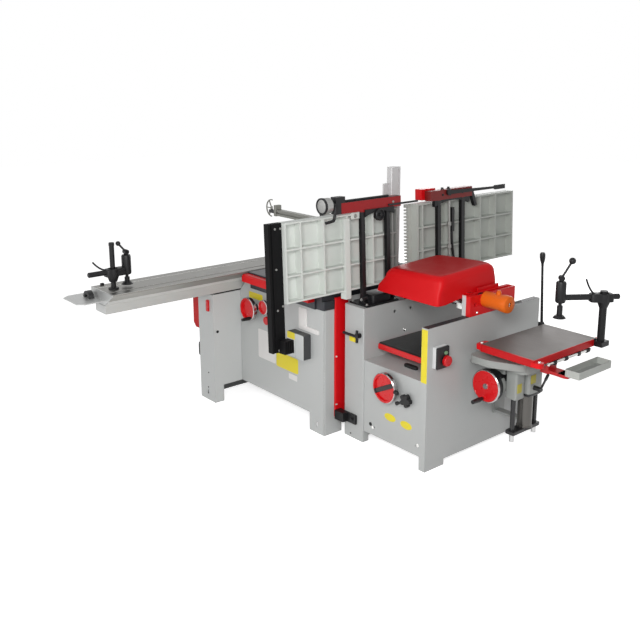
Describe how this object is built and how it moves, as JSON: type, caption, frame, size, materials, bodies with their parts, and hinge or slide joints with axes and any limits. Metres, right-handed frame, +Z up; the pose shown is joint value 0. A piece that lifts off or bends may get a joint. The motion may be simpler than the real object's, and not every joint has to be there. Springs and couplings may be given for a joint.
{
  "type": "combination woodworking machine",
  "caption": "Free-standing grey and red combination woodworking machine with a sliding saw carriage, raised planer tables, thicknessing bed and slot mortiser.",
  "frame": {"origin": "on the floor, in the middle of the machine's outline in X and Y", "axes": "+X to the operator's right, towards the mortiser, +Y away from the operator along the carriage, +Z up"},
  "size_m": [3.542, 2.632, 1.535],
  "materials": {
    "aluminium": "anodised",
    "black_aluminium": "anodised",
    "black_paint": "satin",
    "black_plastic": "satin",
    "cast_iron": "machined",
    "green_plastic": "gloss",
    "grey_casting": "cast",
    "grey_paint": "satin",
    "orange_paint": "satin",
    "pale_plastic": "satin",
    "red_paint": "gloss",
    "red_plastic": "gloss",
    "steel": "ground"
  },
  "bodies": {
    "base": {"saw_cabinet": "grey_paint", "carriage_rail": "aluminium", "saw_table": "cast_iron", "saw_front_bar": "red_paint", "saw_switch_box": "pale_plastic", "post_cover": "red_paint", "tie_bracket": "black_paint", "planer_left_wall": "grey_paint", "planer_right_wall": "grey_paint", "planer_front_panel": "grey_paint", "planer_base_frame": "grey_paint", "table_hinge_blocks": "black_paint", "bearing_bracket": "red_paint", "chuck_guard": "orange_paint", "planer_switch": "black_plastic", "planer_drive": "black_paint", "mortiser_stand": "steel"},
    "carriage": {"carriage": "aluminium", "carriage_end_plate": "aluminium", "carriage_clamp_post": "black_paint", "crosscut_fence": "aluminium"},
    "carriage_clamp_arm": {"carriage_clamp_arm": "black_paint"},
    "carriage_clamp_spindle": {"carriage_clamp_spindle": "steel"},
    "carriage_clamp_lever": {"carriage_clamp_lever": "black_plastic"},
    "outer_flip_stop": {"outer_flip_stop": "aluminium"},
    "inner_flip_stop": {"inner_flip_stop": "aluminium"},
    "saw_lift": {"saw_lift_unit": "cast_iron", "saw_drive": "grey_casting"},
    "saw_blade": {"saw_blade": "steel"},
    "saw_wheel": {"saw_wheel": "red_plastic"},
    "spindle_quill": {"spindle_quill": "steel"},
    "spindle_shaft": {"spindle_shaft": "steel"},
    "spindle_wheel": {"spindle_wheel": "red_plastic"},
    "saw_stop_button": {"saw_stop_button": "red_plastic"},
    "tie_handle": {"tie_handle": "black_paint"},
    "infeed_table": {"infeed_table": "cast_iron", "infeed_carrier": "red_paint", "fence_rail": "black_aluminium"},
    "infeed_lock_lever": {"infeed_lock_lever": "black_plastic"},
    "outfeed_table": {"outfeed_table": "cast_iron", "outfeed_carrier": "red_paint"},
    "outfeed_lock_lever": {"outfeed_lock_lever": "black_paint"},
    "chip_hood": {"chip_hood": "red_paint"},
    "cutterblock": {"cutterblock": "steel"},
    "infeed_roller": {"infeed_roller": "steel"},
    "outfeed_roller": {"outfeed_roller": "steel"},
    "planer_bed": {"planer_bed": "cast_iron"},
    "bed_wheel": {"bed_wheel": "red_plastic"},
    "bed_lock_knob": {"bed_lock_knob": "black_plastic"},
    "planer_start_button": {"planer_start_button": "green_plastic"},
    "planer_stop_button": {"planer_stop_button": "red_plastic"},
    "guard_bar": {"guard_bar": "aluminium"},
    "mortiser_casting": {"mortiser_casting": "grey_casting"},
    "mortiser_wheel": {"mortiser_wheel": "red_plastic"},
    "mortiser_slide": {"mortiser_slide": "red_paint"},
    "mortiser_table": {"mortiser_table": "cast_iron"},
    "mortiser_lever": {"mortiser_lever": "black_paint"},
    "mortise_clamp_arm": {"mortise_clamp_arm": "black_paint"},
    "mortise_clamp_spindle": {"mortise_clamp_spindle": "steel"},
    "mortise_clamp_lever": {"mortise_clamp_lever": "black_plastic"}
  },
  "joints": [
    {"name": "carriage_travel", "type": "slide", "parent": "base", "child": "carriage", "axis": [0, 1, 0], "range_m": [-0.9, 0.9]},
    {"name": "carriage_clamp_height", "type": "slide", "parent": "carriage", "child": "carriage_clamp_arm", "axis": [0, 0, 1], "range_m": [0, 0.11]},
    {"name": "carriage_clamp_cam", "type": "hinge", "parent": "carriage_clamp_arm", "child": "carriage_clamp_lever", "pos_m": [-0.401, -1.002, 1.069], "axis": [-1, 0, 0], "range_deg": [0, 80]},
    {"name": "carriage_clamp_press", "type": "slide", "parent": "carriage_clamp_arm", "child": "carriage_clamp_spindle", "axis": [0, 0, 1], "range_m": [-0.014, 0.001]},
    {"name": "outer_stop_flip", "type": "hinge", "parent": "carriage", "child": "outer_flip_stop", "pos_m": [-1.631, 0.994, 0.93], "axis": [1, 0, 0], "range_deg": [0, 90]},
    {"name": "inner_stop_flip", "type": "hinge", "parent": "carriage", "child": "inner_flip_stop", "pos_m": [-0.981, 0.994, 0.985], "axis": [1, 0, 0], "range_deg": [0, 90]},
    {"name": "saw_rise", "type": "slide", "parent": "base", "child": "saw_lift", "axis": [0, 0, 1], "range_m": [0, 0.088]},
    {"name": "saw_wheel_turn", "type": "hinge", "parent": "base", "child": "saw_wheel", "pos_m": [-0.199, -0.233, 0.64], "axis": [0, 1, 0], "range_deg": [-20, 1600]},
    {"name": "blade_spin", "type": "hinge", "parent": "saw_lift", "child": "saw_blade", "pos_m": [-0.241, 0.134, 0.6975], "axis": [1, 0, 0], "continuous": true},
    {"name": "spindle_rise", "type": "slide", "parent": "base", "child": "spindle_quill", "axis": [0, 0, 1], "range_m": [0, 0.1]},
    {"name": "spindle_wheel_turn", "type": "hinge", "parent": "base", "child": "spindle_wheel", "pos_m": [-0.076, -0.233, 0.672], "axis": [0, 1, 0], "range_deg": [-20, 3630]},
    {"name": "spindle_spin", "type": "hinge", "parent": "spindle_quill", "child": "spindle_shaft", "pos_m": [0.329, 0.214, 0.6], "axis": [0, 0, 1], "continuous": true},
    {"name": "saw_stop_press", "type": "slide", "parent": "base", "child": "saw_stop_button", "axis": [0, 1, 0], "range_m": [0, 0.005], "stiffness_N_per_m": 900, "springref_m": -0.002},
    {"name": "tie_handle_turn", "type": "hinge", "parent": "base", "child": "tie_handle", "pos_m": [0.629, -0.116, 0.635], "axis": [0, 1, 0], "range_deg": [-70, 70]},
    {"name": "infeed_table_tip", "type": "hinge", "parent": "base", "child": "infeed_table", "pos_m": [0.589, 0.049, 0.826], "axis": [0, 1, 0], "range_deg": [0, 10]},
    {"name": "infeed_lock_turn", "type": "hinge", "parent": "infeed_table", "child": "infeed_lock_lever", "pos_m": [0.5459, -0.244, 1.37668], "axis": [0, 1, 0], "range_deg": [-60, 0]},
    {"name": "outfeed_table_tip", "type": "hinge", "parent": "base", "child": "outfeed_table", "pos_m": [0.589, 0.684, 0.826], "axis": [0, 1, 0], "range_deg": [0, 10]},
    {"name": "outfeed_lock_turn", "type": "hinge", "parent": "outfeed_table", "child": "outfeed_lock_lever", "pos_m": [0.5663, 0.654, 1.36753], "axis": [-0.9991, 0, -0.0419], "range_deg": [-20, 25]},
    {"name": "hood_swing", "type": "hinge", "parent": "base", "child": "chip_hood", "pos_m": [0.859, 0.524, 0.842], "axis": [-1, 0, 0], "range_deg": [0, 12]},
    {"name": "cutter_spin", "type": "hinge", "parent": "base", "child": "cutterblock", "pos_m": [0.859, 0.326, 0.872], "axis": [1, 0, 0], "continuous": true},
    {"name": "infeed_roller_spin", "type": "hinge", "parent": "base", "child": "infeed_roller", "pos_m": [0.859, 0.25, 0.856], "axis": [1, 0, 0], "continuous": true},
    {"name": "outfeed_roller_spin", "type": "hinge", "parent": "base", "child": "outfeed_roller", "pos_m": [0.859, 0.402, 0.856], "axis": [1, 0, 0], "continuous": true},
    {"name": "bed_lift", "type": "slide", "parent": "base", "child": "planer_bed", "axis": [0, 0, 1], "range_m": [-0.02, 0.21]},
    {"name": "bed_wheel_turn", "type": "hinge", "parent": "base", "child": "bed_wheel", "pos_m": [0.862, -0.108, 0.401], "axis": [0, 1, 0], "range_deg": [-760, 7700]},
    {"name": "bed_lock_turn", "type": "hinge", "parent": "base", "child": "bed_lock_knob", "pos_m": [1.011, -0.108, 0.371], "axis": [0, 1, 0], "range_deg": [0, 120]},
    {"name": "planer_start_press", "type": "slide", "parent": "base", "child": "planer_start_button", "axis": [-1, 0, 0], "range_m": [0, 0.003], "stiffness_N_per_m": 700, "springref_m": -0.002},
    {"name": "planer_stop_press", "type": "slide", "parent": "base", "child": "planer_stop_button", "axis": [-1, 0, 0], "range_m": [0, 0.003], "stiffness_N_per_m": 900, "springref_m": -0.002},
    {"name": "guard_bar_slide", "type": "slide", "parent": "base", "child": "guard_bar", "axis": [0, 0, 1], "range_m": [0, 0.25]},
    {"name": "mortiser_rise", "type": "slide", "parent": "base", "child": "mortiser_casting", "axis": [0, 0, 1], "range_m": [-0.08, 0.08]},
    {"name": "mortiser_wheel_turn", "type": "hinge", "parent": "mortiser_casting", "child": "mortiser_wheel", "pos_m": [1.291, 0.228, 0.458], "axis": [0, 1, 0], "range_deg": [-2950, 2950]},
    {"name": "mortiser_cross", "type": "slide", "parent": "mortiser_casting", "child": "mortiser_slide", "axis": [0, 1, 0], "range_m": [-0.075, 0.075]},
    {"name": "mortiser_feed", "type": "slide", "parent": "mortiser_slide", "child": "mortiser_table", "axis": [1, 0, 0], "range_m": [-0.09, 0.02]},
    {"name": "mortiser_lever_swing", "type": "hinge", "parent": "mortiser_slide", "child": "mortiser_lever", "pos_m": [1.244, 0.71, 0.6825], "axis": [0, 1, 0], "range_deg": [-27, 7]},
    {"name": "mortise_clamp_height", "type": "slide", "parent": "mortiser_table", "child": "mortise_clamp_arm", "axis": [0, 0, 1], "range_m": [-0.09, 0.01]},
    {"name": "mortise_clamp_cam", "type": "hinge", "parent": "mortise_clamp_arm", "child": "mortise_clamp_lever", "pos_m": [1.49963, 0.49631, 1.034], "axis": [0.809, -0.5878, 0], "range_deg": [0, 80]},
    {"name": "mortise_clamp_press", "type": "slide", "parent": "mortise_clamp_arm", "child": "mortise_clamp_spindle", "axis": [0, 0, 1], "range_m": [-0.014, 0.001]}
  ],
  "couplings": [
    {"joint": "carriage_clamp_press", "follows": "carriage_clamp_cam", "m_per_rad": -0.01},
    {"joint": "mortise_clamp_press", "follows": "mortise_clamp_cam", "m_per_rad": -0.01},
    {"joint": "saw_wheel_turn", "follows": "saw_rise", "rad_per_m": 314.16},
    {"joint": "spindle_wheel_turn", "follows": "spindle_rise", "rad_per_m": 628.32},
    {"joint": "infeed_roller_spin", "follows": "cutter_spin", "ratio": -0.05},
    {"joint": "outfeed_roller_spin", "follows": "cutter_spin", "ratio": -0.05},
    {"joint": "bed_wheel_turn", "follows": "bed_lift", "rad_per_m": 628.32},
    {"joint": "mortiser_wheel_turn", "follows": "mortiser_rise", "rad_per_m": 628.32},
    {"joint": "mortiser_lever_swing", "follows": "mortiser_feed", "rad_per_m": 5}
  ]
}
